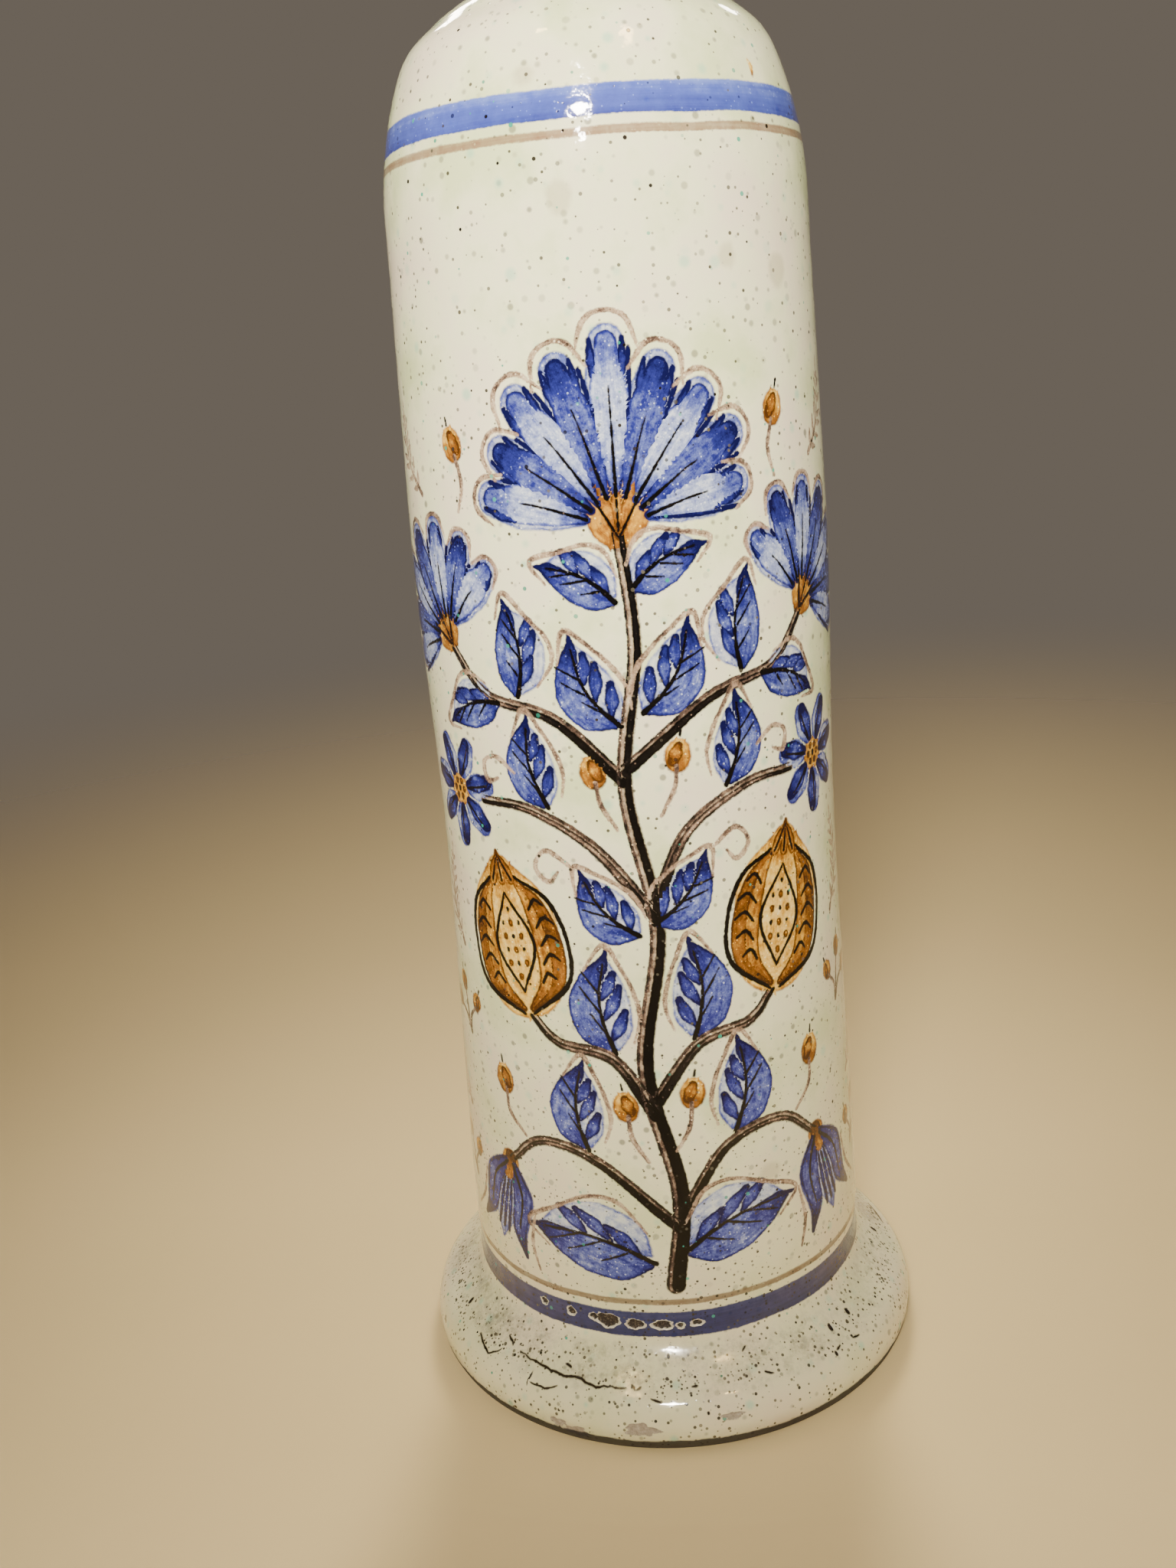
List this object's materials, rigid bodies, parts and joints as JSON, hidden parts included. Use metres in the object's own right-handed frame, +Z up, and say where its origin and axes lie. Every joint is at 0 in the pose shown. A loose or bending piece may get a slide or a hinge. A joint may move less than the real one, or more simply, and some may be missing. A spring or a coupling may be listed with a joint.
{
  "type": "footed bottle",
  "caption": "Tall tin-glazed earthenware bottle with a nearly straight body, domed shoulder, short neck with a rolled lip, and a hollow flared foot.",
  "frame": {"origin": "middle of the foot ring's resting face", "axes": "+Z up along the bottle's turning axis, towards the mouth; +X to the right and +Y away when the side in the picture faces the viewer"},
  "size_m": [0.1544, 0.1544, 0.452],
  "materials": {
    "tin_glaze": "glossy white tin glaze over buff earthenware, speckled, painted in cobalt blue, manganese brown and ochre"
  },
  "bodies": {
    "root": {"foot": "tin_glaze", "body": "tin_glaze", "shoulder": "tin_glaze", "neck": "tin_glaze"}
  },
  "joints": []
}
